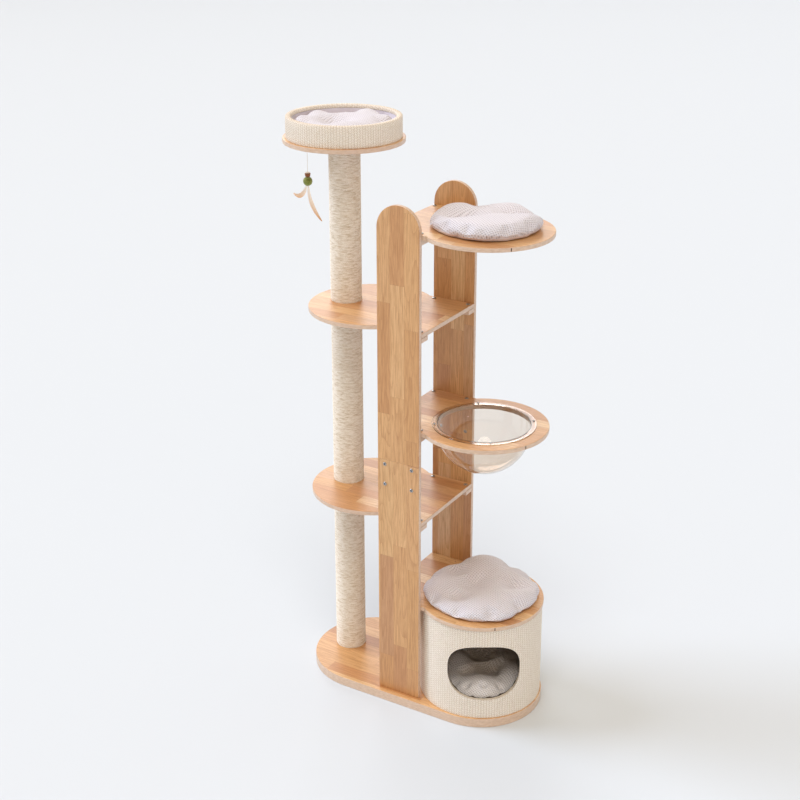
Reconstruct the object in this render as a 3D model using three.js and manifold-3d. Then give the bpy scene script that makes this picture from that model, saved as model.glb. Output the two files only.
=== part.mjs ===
// Cat tree: a round-ended base, two tall uprights, five shelves on battens, three stacked
// scratching posts, a raised bed, a clear bowl, a covered den and a hanging toy.
// Millimetres. +Z is up, +X runs from the posts to the den, and the origin is on the floor
// in the middle of the base. The boards have the drilled holes of the wood screws and lap bolts.
import * as THREE from "three";
import { mergeVertices } from "three/addons/utils/BufferGeometryUtils.js";
import Module from "manifold-3d";

const wasm = await Module();
wasm.setup();

// ---------- driving dimensions ----------
const GAP = 0.3; // left between faces that touch
const BOARD = 13; // thickness of every wooden board but the base
const EDGE_ROUND = 1.5; // rounding along the edges of the boards
const BASE = { endX: 184, radius: 187, thickness: 28 };
const UPRIGHT = { width: 136, innerY: 151.5, top: 1532 };
const LAP = { bottom: 690, top: 780, boltX: 44, boltInset: 14, hole: 4 };
const DISC = { x: 186, radius: 185 }; // round end of every shelf
const SHELF_TOP = { roof: 330, lowerLeft: 600, bowl: 881, middleLeft: 1175, topRight: 1455 };
const BATTEN = { width: 33, length: 136, shortLength: 104, screwInset: 11.5, hole: 2.5 };
const POST = { x: 275, radius: 46, sisal: 3.7, tubeWall: 5, plug: 16, hole: 4.4 };
const BED = { plateRadius: 175, plateTop: 1659, radius: 165, rimTop: 1721, fold: 10 };
const WALL = { sisal: 3.7, core: 8, lining: 2 }; // layers of the bed's rim and of the den
const BOWL = { flangeRadius: 149, radius: 135, sheet: 3, step: 10, screwRing: 142 };
const DEN = { x: 187, radius: 180 };
const DOORWAY = { turn: 31.5, halfWidth: 105, bottom: 87, top: 264, power: 2.6 };
const CUSHION = {
  shelf: { x: 186, radius: 156, height: 44 },
  roof: { x: 187, radius: 170, height: 52 },
  bed: { x: -275, radius: 145, height: 48 },
  den: { x: 187, radius: 156, height: 76 },
};
const TOY = { x: -403, string: 90, stringRadius: 0.6, capRadius: 8.5, capHeight: 13, ballRadius: 13.8 };

const DENSE = 40; // sides of the large round parts
const ROUND = 24; // sides of the posts and the cushions
const HIDDEN = 16; // sides of the plugs inside the posts
const SMALL = 8; // sides of the fasteners and their holes

// ---------- finishes ----------
const finish = (color, roughness, metalness = 0) =>
  new THREE.MeshStandardMaterial({ color, roughness, metalness });
const finishes = {
  wood: () => finish("#c99a63", 0.5),
  sisal: () => finish("#ddd0b4", 0.95),
  card: () => finish("#b3946b", 0.9),
  zinc: () => finish("#c4c6c8", 0.35, 0.9),
  waffle: () => finish("#e6dfdf", 0.95),
  lining: () => finish("#d9d3df", 0.95),
  felt: () => finish("#7c8a42", 0.95),
  leather: () => finish("#7a4526", 0.7),
  feather: () => finish("#dcae7e", 0.8),
  string: () => finish("#e8e4da", 0.8),
  acrylic: () => Object.assign(finish("#f3efe9", 0.05), { transparent: true, opacity: 0.3 }),
};

// ---------- helpers ----------
const tree = new THREE.Group();
tree.name = "cat_tree";

// Adds one named piece to a group and returns its mesh, so that it can be placed.
function add(group, name, geometry, finishName) {
  const mesh = new THREE.Mesh(geometry, finishes[finishName]());
  mesh.name = name;
  group.add(mesh);
  return mesh;
}

function solidOf(geometry) {
  const bare = geometry.clone();
  bare.deleteAttribute("normal");
  bare.deleteAttribute("uv");
  const merged = mergeVertices(bare, 1e-3);
  const vertProperties = merged.attributes.position.array;
  const triVerts = new Uint32Array(merged.index.array);
  return new wasm.Manifold(new wasm.Mesh({ numProp: 3, vertProperties, triVerts }));
}

function geometryOf(solid) {
  const mesh = solid.getMesh();
  const geometry = new THREE.BufferGeometry();
  geometry.setAttribute("position", new THREE.BufferAttribute(mesh.vertProperties, 3));
  geometry.setIndex(new THREE.BufferAttribute(mesh.triVerts, 1));
  const flat = geometry.toNonIndexed();
  flat.computeVertexNormals();
  return flat;
}

// The geometry left when the cutters are taken out of it.
function cut(geometry, cutters) {
  const left = cutters.reduce((solid, cutter) => solid.subtract(solidOf(cutter)), solidOf(geometry));
  return geometryOf(left);
}

// A turned piece about Z: its profile is [radius, height] points, going up the outside.
function turned(points, sides) {
  const profile = points.map(([radius, height]) => new THREE.Vector2(radius, height));
  return new THREE.LatheGeometry(profile, sides).rotateX(Math.PI / 2);
}

function rod(radius, bottom, top, sides) {
  return turned([[0, bottom], [radius, bottom], [radius, top], [0, top]], sides);
}

function ring(inner, outer, bottom, top, sides) {
  return turned([[inner, bottom], [outer, bottom], [outer, top], [inner, top], [inner, bottom]], sides);
}

function boxBetween([x0, y0, z0], [x1, y1, z1]) {
  const box = new THREE.BoxGeometry(x1 - x0, y1 - y0, z1 - z0);
  return box.translate((x0 + x1) / 2, (y0 + y1) / 2, (z0 + z1) / 2);
}

// A flat board cut to an outline, with rounded edges, standing on z = 0.
function board(outline, thickness, curveSegments) {
  const extruded = new THREE.ExtrudeGeometry(outline, {
    depth: thickness - 2 * EDGE_ROUND,
    bevelThickness: EDGE_ROUND,
    bevelSize: EDGE_ROUND,
    bevelOffset: -EDGE_ROUND,
    bevelSegments: 2,
    curveSegments,
  });
  return extruded.translate(0, 0, EDGE_ROUND);
}

// A screw or bolt that points down -Z, with the underside of its head at z = 0.
function screw({ headRadius, headHeight, shankRadius, length }) {
  const profile = [
    [0, -length],
    [shankRadius, -length],
    [shankRadius, 0],
    [headRadius, 0],
    [headRadius, headHeight / 2],
    [headRadius * 0.6, headHeight],
    [0, headHeight],
  ];
  return turned(profile, SMALL);
}

const hole = (radius, x, y, bottom, top) => rod(radius, bottom, top, SMALL).translate(x, y, 0);

// Every pairing of the given x and y.
const pairs = (xs, ys) => xs.flatMap((x) => ys.map((y) => [x, y]));

// The middle of the core layer in a covered wall of this outer radius.
const coreMiddle = (outer) => outer - WALL.sisal - GAP - WALL.core / 2;

// Four spots on a circle, on its diagonals, where screws come up into a covered wall.
function wallScrewSpots(x, radius) {
  return [1, 3, 5, 7].map((eighths) => {
    const angle = (eighths * Math.PI) / 4;
    return [x + radius * Math.cos(angle), radius * Math.sin(angle)];
  });
}

// ---------- base ----------
const FOOT_SCREW = { headRadius: 5, headHeight: 3, shankRadius: 2.2, length: 62 };
const WALL_SCREW = { headRadius: 4, headHeight: 2.4, shankRadius: 1.8 };
const POST_BOLT = { headRadius: 8, headHeight: 5, shankRadius: 4, length: 36 };
const SUNK = 0.6; // room around a head that is sunk in a board
const baseTop = BASE.thickness;
const uprightMiddle = UPRIGHT.innerY + BOARD / 2;

function baseOutline() {
  const outline = new THREE.Shape();
  outline.absarc(BASE.endX, 0, BASE.radius, -Math.PI / 2, Math.PI / 2);
  outline.absarc(-BASE.endX, 0, BASE.radius, Math.PI / 2, (3 * Math.PI) / 2);
  outline.closePath();
  return outline;
}

// Holes for a fastener that comes up from under a board: its sunk head and its shank.
function holesFromBelow([x, y], { headRadius, headHeight, shankRadius }, boardTop) {
  return [
    hole(headRadius + SUNK, x, y, -1, headHeight + SUNK),
    hole(shankRadius + GAP, x, y, 0, boardTop + 1),
  ];
}

function makeBase() {
  const footSpots = pairs([-LAP.boltX, LAP.boltX], [-uprightMiddle, uprightMiddle]);
  const denSpots = wallScrewSpots(DEN.x, coreMiddle(DEN.radius));
  const holes = [
    ...footSpots.flatMap((spot) => holesFromBelow(spot, FOOT_SCREW, baseTop)),
    ...denSpots.flatMap((spot) => holesFromBelow(spot, WALL_SCREW, baseTop)),
    ...holesFromBelow([-POST.x, 0], POST_BOLT, baseTop),
  ];
  add(tree, "base_plate", cut(board(baseOutline(), baseTop, 14), holes), "wood");
}

// ---------- uprights ----------
const halfWidth = UPRIGHT.width / 2;

// An upright's board, drawn in x and z, with its outer face at y = 0 and its inner one at +Y.
function uprightBoard(bottom, top, roundTop) {
  const outline = new THREE.Shape();
  outline.moveTo(-halfWidth, bottom);
  outline.lineTo(halfWidth, bottom);
  if (roundTop) {
    outline.absarc(0, top - halfWidth, halfWidth, 0, Math.PI);
  } else {
    outline.lineTo(halfWidth, top);
    outline.lineTo(-halfWidth, top);
  }
  outline.closePath();
  return board(outline, BOARD, 12).rotateX(Math.PI / 2).translate(0, BOARD, 0);
}

function lapHoles() {
  const heights = [LAP.bottom + LAP.boltInset, LAP.top - LAP.boltInset];
  return pairs([-LAP.boltX, LAP.boltX], heights).map(([x, z]) =>
    rod(LAP.hole, -1, BOARD + 1, SMALL).rotateX(-Math.PI / 2).translate(x, 0, z),
  );
}

// One upright: its lower board keeps the outer half of the lap, its upper board the inner half.
function makeUpright(side, name) {
  const wide = halfWidth + 1;
  const middle = BOARD / 2;
  const lapLow = LAP.bottom - GAP / 2;
  const lapHigh = LAP.top + GAP / 2;
  const innerHalf = boxBetween([-wide, middle - GAP / 2, lapLow], [wide, BOARD + 1, lapHigh + 1]);
  const outerHalf = boxBetween([-wide, -1, lapLow - 1], [wide, middle + GAP / 2, lapHigh]);
  const footHoles = [-LAP.boltX, LAP.boltX].map((x) =>
    hole(FOOT_SCREW.shankRadius + GAP, x, middle, 0, FOOT_SCREW.length + 4),
  );
  const lower = uprightBoard(baseTop + GAP, LAP.top - GAP / 2, false);
  const upper = uprightBoard(LAP.bottom + GAP / 2, UPRIGHT.top, true);
  const boards = {
    lower: cut(lower, [innerHalf, ...lapHoles(), ...footHoles]),
    upper: cut(upper, [outerHalf, ...lapHoles()]),
  };
  for (const [level, geometry] of Object.entries(boards)) {
    add(side, `${name}_upright_${level}`, geometry, "wood").position.y = -UPRIGHT.innerY - BOARD;
  }
}

// ---------- shelves and battens ----------
const battenOuterY = UPRIGHT.innerY - GAP;
const battenMiddleY = battenOuterY - BATTEN.width / 2;
const screwXs = (length) => {
  const middle = (length - BATTEN.length) / 2; // every batten starts at the neck's free end
  const reach = length / 2 - BATTEN.screwInset;
  return [middle - reach, middle + reach];
};

// A rectangular neck between the uprights that runs into a disc towards +X.
function shelfOutline() {
  const neckHalf = UPRIGHT.innerY - GAP;
  const meeting = Math.PI - Math.asin(neckHalf / DISC.radius);
  const outline = new THREE.Shape();
  outline.moveTo(-halfWidth, neckHalf);
  outline.lineTo(-halfWidth, -neckHalf);
  outline.absarc(DISC.x, 0, DISC.radius, -meeting, meeting);
  outline.closePath();
  return outline;
}

// A shelf with a batten under each edge of its neck; its screws go through into the battens.
function makeShelf(name, top, towardsDen, battenLength, extraHoles) {
  const shelf = new THREE.Group();
  shelf.position.z = top - BOARD;
  shelf.rotation.z = towardsDen ? 0 : Math.PI;
  tree.add(shelf);
  const spots = pairs(screwXs(battenLength), [-battenMiddleY, battenMiddleY]);
  const holes = spots.map(([x, y]) => hole(BATTEN.hole, x, y, -1, BOARD + 1));
  add(shelf, name, cut(board(shelfOutline(), BOARD, DENSE / 2), [...holes, ...extraHoles]), "wood");

  for (const side of [-1, 1]) {
    const isFront = (side < 0) === towardsDen;
    const startX = -halfWidth;
    const ys = [side * battenOuterY, side * (battenOuterY - BATTEN.width)].sort((a, b) => a - b);
    const bar = boxBetween([startX, ys[0], -BOARD - GAP], [startX + battenLength, ys[1], -GAP]);
    const screwHoles = screwXs(battenLength).map((x) =>
      hole(BATTEN.hole, x, side * battenMiddleY, -BOARD / 2 - GAP - 4, 1),
    );
    add(shelf, `${name}_${isFront ? "front" : "rear"}_batten`, cut(bar, screwHoles), "wood");
  }
}

function makeShelves() {
  const postHole = hole(POST.hole, POST.x, 0, -1, BOARD + 1);
  const bowlHole = rod(BOWL.radius + 1.5, -1, BOARD + 1, DENSE).translate(DISC.x, 0, 0);
  const bowlScrewHoles = bowlScrewSpots().map(([x, y]) => hole(BOWL_SCREW.shankRadius + GAP, x, y, 2, BOARD + 1));
  makeShelf("condo_roof", SHELF_TOP.roof, true, BATTEN.shortLength, []);
  makeShelf("lower_left_shelf", SHELF_TOP.lowerLeft, false, BATTEN.length, [postHole]);
  makeShelf("bowl_shelf", SHELF_TOP.bowl, true, BATTEN.length, [bowlHole, ...bowlScrewHoles]);
  makeShelf("middle_left_shelf", SHELF_TOP.middleLeft, false, BATTEN.length, [postHole]);
  makeShelf("top_right_shelf", SHELF_TOP.topRight, true, BATTEN.length, []);
}

// ---------- scratching posts ----------
// One post between two boards: a card tube with a wooden plug in each end, in a sisal sleeve.
function makePost(name, bottom, top) {
  const post = new THREE.Group();
  post.position.set(-POST.x, 0, bottom + GAP);
  tree.add(post);
  const height = top - bottom - 2 * GAP;
  const tubeOuter = POST.radius - POST.sisal - GAP;
  const tubeInner = tubeOuter - POST.tubeWall;
  add(post, `${name}_post_sisal`, ring(tubeOuter + GAP, POST.radius, 0, height, ROUND), "sisal");
  add(post, `${name}_post_tube`, ring(tubeInner, tubeOuter, 0, height, ROUND), "card");
  const plug = ring(POST.hole, tubeInner - 2 * GAP, 0, POST.plug, HIDDEN);
  add(post, `${name}_post_bottom_plug`, plug, "wood");
  add(post, `${name}_post_top_plug`, plug, "wood").position.z = height - POST.plug;
}

function makePosts() {
  const bedUnder = BED.plateTop - BOARD;
  makePost("lower", baseTop, SHELF_TOP.lowerLeft - BOARD);
  makePost("middle", SHELF_TOP.lowerLeft, SHELF_TOP.middleLeft - BOARD);
  makePost("upper", SHELF_TOP.middleLeft, bedUnder);

  const bolt = screw(POST_BOLT);
  const baseBolt = add(tree, "base_post_bolt", bolt, "zinc");
  baseBolt.rotation.x = Math.PI;
  baseBolt.position.set(-POST.x, 0, POST_BOLT.headHeight + GAP);
  const studLength = BOARD + 1.6 * POST.plug;
  for (const [name, top] of [["lower", SHELF_TOP.lowerLeft], ["middle", SHELF_TOP.middleLeft]]) {
    const stud = rod(POST_BOLT.shankRadius, -studLength / 2, studLength / 2, SMALL);
    add(tree, `${name}_shelf_stud`, stud, "zinc").position.set(-POST.x, 0, top - BOARD / 2);
  }
  const plateBolt = screw({ ...POST_BOLT, length: 20 });
  const plateBoltZ = BED.plateTop - POST_BOLT.headHeight - GAP;
  add(tree, "bed_plate_bolt", plateBolt, "zinc").position.set(-POST.x, 0, plateBoltZ);
}

// ---------- bed ----------
const sisalInner = (outer) => outer - WALL.sisal;
const coreOuter = (outer) => outer - WALL.sisal - GAP;
const coreInner = (outer) => coreOuter(outer) - WALL.core;

function makeBedPlate(bed) {
  const outline = new THREE.Shape().absarc(0, 0, BED.plateRadius, 0, 2 * Math.PI);
  const headSeat = hole(POST_BOLT.headRadius + SUNK, 0, 0, BOARD - POST_BOLT.headHeight - SUNK, BOARD + 1);
  const screwHoles = wallScrewSpots(0, coreMiddle(BED.radius)).flatMap((spot) =>
    holesFromBelow(spot, WALL_SCREW, BOARD),
  );
  const holes = [hole(POST.hole, 0, 0, -1, BOARD + 1), headSeat, ...screwHoles];
  add(bed, "bed_plate", cut(board(outline, BOARD, DENSE / 2), holes), "wood").position.z = -BOARD;
}

// The sisal runs up the outside, over the rim and a little way down the inside.
function bedSisal(height) {
  const outer = BED.radius;
  const inner = coreInner(outer) - GAP;
  const innermost = inner - WALL.sisal;
  const underFold = height - WALL.sisal;
  const profile = [
    [sisalInner(outer), 0],
    [outer, 0],
    [outer, height - 3],
    [outer - 3, height],
    [innermost + 3, height],
    [innermost, height - 3],
    [innermost, height - BED.fold],
    [inner, height - BED.fold],
    [inner, underFold],
    [sisalInner(outer), underFold],
    [sisalInner(outer), 0],
  ];
  return turned(profile, DENSE);
}

// The lining is a shallow cup: a floor on the plate and a wall up to the fold of the sisal.
function bedLining(height) {
  const outer = coreInner(BED.radius) - GAP;
  const top = height - BED.fold - GAP;
  const profile = [
    [0, 0],
    [outer, 0],
    [outer, top],
    [outer - WALL.lining, top],
    [outer - WALL.lining, WALL.lining],
    [0, WALL.lining],
  ];
  return turned(profile, DENSE);
}

function makeBed() {
  const bed = new THREE.Group();
  bed.position.set(-POST.x, 0, BED.plateTop);
  tree.add(bed);
  makeBedPlate(bed);
  const height = BED.rimTop - BED.plateTop - GAP;
  const coreHeight = height - WALL.sisal - GAP;
  const core = ring(coreInner(BED.radius), coreOuter(BED.radius), 0, coreHeight, DENSE);
  add(bed, "bed_ring", core, "card").position.z = GAP;
  add(bed, "bed_ring_sisal", bedSisal(height), "sisal").position.z = GAP;
  add(bed, "bed_lining", bedLining(height), "lining").position.z = GAP;
}

// ---------- bowl ----------
const BOWL_SCREW = { headRadius: 3.4, headHeight: 1.8, shankRadius: 1.5, length: 12 };

// Spots around the bowl, from the middle of its shelf's neck.
function bowlScrewSpots() {
  const firstAngle = THREE.MathUtils.degToRad(35);
  return [0, 1, 2, 3].map((quarter) => {
    const angle = firstAngle + (quarter * Math.PI) / 2;
    return [DISC.x + BOWL.screwRing * Math.cos(angle), BOWL.screwRing * Math.sin(angle)];
  });
}

// A half sphere below a short upright step, with a flat flange round the top; z = 0 is the
// flange's underside.
function bowlShell() {
  const { radius, sheet, step, flangeRadius } = BOWL;
  const arcSteps = 9;
  const arc = (r, index) => {
    const angle = (index / arcSteps) * (Math.PI / 2);
    return [r * Math.sin(angle), -step - r * Math.cos(angle)];
  };
  const count = Array.from({ length: arcSteps + 1 }, (_, index) => index);
  const outside = count.map((index) => arc(radius, index));
  const inside = count.map((index) => arc(radius - sheet, arcSteps - index));
  outside[0][0] = 0;
  inside[arcSteps][0] = 0;
  const flange = [
    [radius, 0],
    [flangeRadius, 0],
    [flangeRadius, sheet],
    [radius - sheet, sheet],
  ];
  return turned([...outside, ...flange, ...inside], DENSE);
}

function makeBowl() {
  const flangeUnder = SHELF_TOP.bowl + GAP;
  const holes = bowlScrewSpots().map(([x, y]) =>
    hole(BOWL_SCREW.shankRadius + GAP, x - DISC.x, y, -1, BOWL.sheet + 1),
  );
  add(tree, "bowl", cut(bowlShell(), holes), "acrylic").position.set(DISC.x, 0, flangeUnder);
  bowlScrewSpots().forEach(([x, y], index) => {
    const mesh = add(tree, `bowl_screw_${index + 1}`, screw(BOWL_SCREW), "zinc");
    mesh.position.set(x, y, flangeUnder + BOWL.sheet + GAP);
  });
}

// ---------- den ----------
// A straight-sided cutter with a rounded outline, from the den's axis out through its wall.
function doorwayCutter(widening) {
  const { halfWidth: reach, bottom, top, power, turn } = DOORWAY;
  const middle = (bottom + top) / 2;
  const halfHeight = (top - bottom) / 2 + widening;
  const steps = 36;
  const points = Array.from({ length: steps }, (_, index) => {
    const angle = (index / steps) * 2 * Math.PI;
    const round = (value) => Math.sign(value) * Math.abs(value) ** (2 / power);
    return new THREE.Vector2(
      (reach + widening) * round(Math.cos(angle)),
      middle + halfHeight * round(Math.sin(angle)),
    );
  });
  const cutter = new THREE.ExtrudeGeometry(new THREE.Shape(points), {
    depth: DEN.radius * 1.2,
    bevelEnabled: false,
  });
  return cutter.rotateX(Math.PI / 2).rotateZ(THREE.MathUtils.degToRad(turn));
}

function makeDen() {
  const den = new THREE.Group();
  den.position.x = DEN.x;
  tree.add(den);
  const bottom = baseTop + GAP;
  const top = SHELF_TOP.roof - BOARD - GAP;
  const inner = coreInner(DEN.radius);
  const layers = {
    condo_sisal: [sisalInner(DEN.radius), DEN.radius, 0, "sisal"],
    condo_wall: [inner, coreOuter(DEN.radius), 0.5, "card"],
    condo_lining: [inner - GAP - WALL.lining, inner - GAP, 0, "waffle"],
  };
  for (const [name, [from, to, widening, finishName]] of Object.entries(layers)) {
    const layer = ring(from, to, bottom, top, DENSE);
    add(den, name, cut(layer, [doorwayCutter(widening)]), finishName);
  }
}

// ---------- cushions ----------
// A plump round cushion on z = 0, flatter underneath than on top.
function cushionGeometry({ radius, height }) {
  const profile = [
    [0, 0],
    [radius * 0.88, 0],
    [radius * 0.97, height * 0.14],
    [radius, height * 0.34],
    [radius * 0.96, height * 0.6],
    [radius * 0.82, height * 0.86],
    [radius * 0.5, height],
    [0, height],
  ];
  return turned(profile, ROUND);
}

function makeCushions() {
  const floors = {
    shelf: SHELF_TOP.topRight + GAP,
    roof: SHELF_TOP.roof + GAP,
    bed: BED.plateTop + GAP + WALL.lining + GAP,
    den: baseTop + GAP,
  };
  for (const [place, size] of Object.entries(CUSHION)) {
    const mesh = add(tree, `${place}_cushion`, cushionGeometry(size), "waffle");
    mesh.position.set(size.x, 0, floors[place]);
  }
}

// ---------- toy ----------
const EYE = { ring: 4, wire: 0.7, stem: 2.5 };
const LOOP = { ring: 3.5, wire: 0.6 };
const bedUnder = BED.plateTop - BOARD;
const eyeZ = bedUnder - EYE.stem - EYE.ring;
const swingZ = eyeZ - EYE.ring; // where the loop rests in the eye
const loopZ = swingZ + EYE.wire + LOOP.wire + GAP - LOOP.ring;
const knotZ = loopZ - LOOP.ring;
const stringTop = knotZ - LOOP.wire - GAP;
const capTop = stringTop - TOY.string - GAP;
const ballZ = capTop - TOY.capHeight - GAP - TOY.ballRadius;

function makeEyelet() {
  const eye = solidOf(new THREE.TorusGeometry(EYE.ring, EYE.wire, 6, 12).rotateX(Math.PI / 2));
  const stem = rod(EYE.wire, EYE.ring - EYE.wire / 2, EYE.ring + EYE.stem - GAP, 8);
  add(tree, "toy_eyelet", geometryOf(eye.add(solidOf(stem))), "zinc").position.set(TOY.x, 0, eyeZ);
  const loop = new THREE.TorusGeometry(LOOP.ring, LOOP.wire, 6, 12).rotateY(Math.PI / 2);
  add(tree, "toy_loop", loop, "string").position.set(TOY.x, 0, loopZ);
}

// The string hangs straight: its route is these points, from the loop down to the cap.
function makeString() {
  const route = [
    new THREE.Vector3(TOY.x, 0, stringTop),
    new THREE.Vector3(TOY.x, 0, stringTop - TOY.string),
  ];
  const section = new THREE.Shape().absarc(0, 0, TOY.stringRadius, 0, 2 * Math.PI);
  const tube = new THREE.ExtrudeGeometry(section, {
    steps: 30,
    curveSegments: 4,
    bevelEnabled: false,
    extrudePath: new THREE.LineCurve3(...route),
  });
  add(tree, "toy_string", tube, "string");
}

// A feather is a thin blade between two curved edges, drawn in x and z from its root.
function feather(tip, bend, width) {
  const root = new THREE.Vector2(0, 0);
  const across = new THREE.Vector2(-tip.y, tip.x).normalize().multiplyScalar(width);
  const outline = new THREE.Shape();
  outline.moveTo(root.x - 1, root.y);
  outline.quadraticCurveTo(bend.x - across.x, bend.y - across.y, tip.x, tip.y);
  outline.quadraticCurveTo(bend.x + across.x, bend.y + across.y, root.x + 1, root.y);
  outline.closePath();
  const blade = new THREE.ExtrudeGeometry(outline, { depth: 1, bevelEnabled: false, curveSegments: 10 });
  return blade.translate(0, 0, -0.5).rotateX(Math.PI / 2);
}

function makeToy() {
  makeEyelet();
  makeString();
  const cap = turned(
    [
      [0, 0],
      [TOY.capRadius * 0.8, 0],
      [TOY.capRadius, TOY.capHeight * 0.75],
      [TOY.capRadius * 0.7, TOY.capHeight],
      [0, TOY.capHeight],
    ],
    16,
  );
  add(tree, "toy_cap", cap, "leather").position.set(TOY.x, 0, capTop - TOY.capHeight);
  const ball = new THREE.SphereGeometry(TOY.ballRadius, 16, 10);
  add(tree, "toy_ball", ball, "felt").position.set(TOY.x, 0, ballZ);
  const rootZ = ballZ - TOY.ballRadius - GAP;
  const longOne = feather(new THREE.Vector2(46, -100), new THREE.Vector2(2, -48), 7);
  const shortOne = feather(new THREE.Vector2(-50, -28), new THREE.Vector2(-26, -52), 7);
  add(tree, "toy_long_feather", longOne, "feather").position.set(TOY.x + 3, -1, rootZ);
  add(tree, "toy_short_feather", shortOne, "feather").position.set(TOY.x - 3, 1, rootZ);
}

makeBase();
for (const [name, turn] of [["front", 0], ["rear", Math.PI]]) {
  const side = new THREE.Group();
  side.rotation.z = turn;
  tree.add(side);
  makeUpright(side, name);
}
makeShelves();
makePosts();
makeBed();
makeBowl();
makeDen();
makeCushions();
makeToy();

export default tree;
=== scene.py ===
from functools import partial
from math import atan2, ceil, copysign, cos, degrees, exp, hypot, pi, radians, remainder, sin, sqrt

import bpy
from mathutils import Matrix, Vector, noise


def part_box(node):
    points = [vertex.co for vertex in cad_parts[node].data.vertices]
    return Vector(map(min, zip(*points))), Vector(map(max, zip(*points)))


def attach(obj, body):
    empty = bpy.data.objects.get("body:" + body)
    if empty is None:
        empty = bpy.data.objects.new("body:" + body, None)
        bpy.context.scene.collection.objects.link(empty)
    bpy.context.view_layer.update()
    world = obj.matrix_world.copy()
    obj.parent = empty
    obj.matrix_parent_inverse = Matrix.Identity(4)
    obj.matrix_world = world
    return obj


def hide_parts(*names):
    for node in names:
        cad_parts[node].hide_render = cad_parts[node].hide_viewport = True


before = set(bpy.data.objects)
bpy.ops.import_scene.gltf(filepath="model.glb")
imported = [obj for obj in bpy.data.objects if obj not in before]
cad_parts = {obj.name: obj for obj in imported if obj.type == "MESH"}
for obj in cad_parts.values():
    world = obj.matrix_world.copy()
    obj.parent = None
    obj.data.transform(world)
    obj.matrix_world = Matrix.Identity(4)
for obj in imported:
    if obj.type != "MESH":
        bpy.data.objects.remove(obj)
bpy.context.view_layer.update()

# --- sizes that drive the pieces
MM = 0.001
BOARD = 13 * MM
SHELVES = {  # name: (top of the board, length of its battens)
    "condo_roof": (330 * MM, 104 * MM),
    "lower_left_shelf": (600 * MM, 136 * MM),
    "bowl_shelf": (881 * MM, 136 * MM),
    "middle_left_shelf": (1175 * MM, 136 * MM),
    "top_right_shelf": (1455 * MM, 136 * MM),
}
UPRIGHT_HALF_WIDTH = 68 * MM
UPRIGHT_INNER = 151.5 * MM
UPRIGHT_OUTER = UPRIGHT_INNER + BOARD
SCREW_INSET = 11.5 * MM
SCREW_Y = 134.7 * MM
LAP_BOLT_X = 44 * MM
LAP_BOLT_HEIGHTS = (704 * MM, 766 * MM)
DISC_X = 186 * MM
DISC_RADIUS = 185 * MM
POST_X = -275 * MM
POST_RADIUS = 46 * MM
ROPE = 4.5 * MM  # thickness of the rope wound round the posts
RIB = 8 * MM  # spacing of the upright ribs of the sisal matting
RIB_DEPTH = 1 * MM
BED_X = POST_X
BED_RADIUS = 165 * MM
BED_FLOOR = 1659.3 * MM
BED_TOP = 1721 * MM
DEN_X = 187 * MM
DEN_RADIUS = 180 * MM
DEN_FLOOR = 28.3 * MM
DEN_TOP = 316.7 * MM
DOORWAY_TURN = radians(31.5)
BOWL_TOP = 884.3 * MM
STRING_TOP = (-403 * MM, 0.0, 1629.2 * MM)
STRING_LENGTH = 90 * MM
STRING_WIDTH = 1.2 * MM
WAFFLE = 7.2 * MM  # side of one cell of the waffle weave
STAVE = 45 * MM  # width of one stave of the wooden boards
STAVE_LENGTH = 330 * MM

# --- camera, lights and floor


def make_camera():
    data = bpy.data.cameras.new("camera")
    data.sensor_width = 36
    data.lens = 65.26
    data.shift_x = -0.0095
    data.shift_y = -0.1315
    camera = bpy.data.objects.new("camera", data)
    camera.location = (1.932, -3.365, 2.538)
    camera.rotation_euler = (radians(71.42), 0, radians(30.71))
    bpy.context.collection.objects.link(camera)
    bpy.context.scene.camera = camera


def add_sun(name, strength, spread, colour, place, shines=True):
    """A soft sun from the given place. Where it doesn't shine, it leaves no bright spot on gloss."""
    sun = bpy.data.lights.new(name, "SUN")
    sun.energy = strength
    sun.angle = radians(spread)
    sun.color = linear(colour)[:3]
    lamp = bpy.data.objects.new(name, sun)
    lamp.visible_glossy = shines
    lamp.location = place
    towards_tree = Vector((0, 0, 0.9)) - Vector(place)
    lamp.rotation_euler = towards_tree.to_track_quat("-Z", "Y").to_euler()
    bpy.context.collection.objects.link(lamp)


def make_studio():
    """A pale floor that rises to a far round wall, under an even sky and four soft suns."""
    scene = bpy.context.scene
    scene.view_settings.view_transform = "Standard"
    world = bpy.data.worlds.new("studio")
    world.use_nodes = True
    feed(world.node_tree.nodes["Background"], {"Color": linear("#ffe9cf"), "Strength": 0.62})
    scene.world = world
    add_sun("window", 2.1, 28, "#e2ecff", (-4.3, -1.1, 4.4))
    add_sun("front_fill", 1.0, 30, "#fff9f2", (0.9, -2.1, 5.3), shines=False)
    add_sun("warm_bounce", 0.3, 60, "#ffd3a0", (3.2, -2.8, 2.2), shines=False)
    add_sun("back_fill", 1.0, 40, "#fbfbff", (-3.0, 3.2, 3.0))
    sweep = [(0.5, 0), (22, 0), (25, 0.5), (27.6, 1.9), (29.4, 4.2), (30, 8)]
    outside = [(30.2, 8), (30.2, -0.1), (0.5, -0.1)]
    floor = lathe(sweep + outside, 96, (0, 0, 0))
    floor.name = "floor"
    floor.data.materials.append(floor_paint())
    smooth(floor, 40)


# --- helpers for materials

MIXED = {"out": 2, "data_type": "RGBA"}  # a mix node that blends two colours
MULTIPLIED = {"out": 2, "data_type": "RGBA", "blend_type": "MULTIPLY"}


def linear(hex_colour):
    """An sRGB hex colour as linear red, green, blue and alpha."""
    parts = [int(hex_colour[i : i + 2], 16) / 255 for i in (1, 3, 5)]
    return tuple(p / 12.92 if p <= 0.04045 else ((p + 0.055) / 1.055) ** 2.4 for p in parts) + (1.0,)


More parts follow.
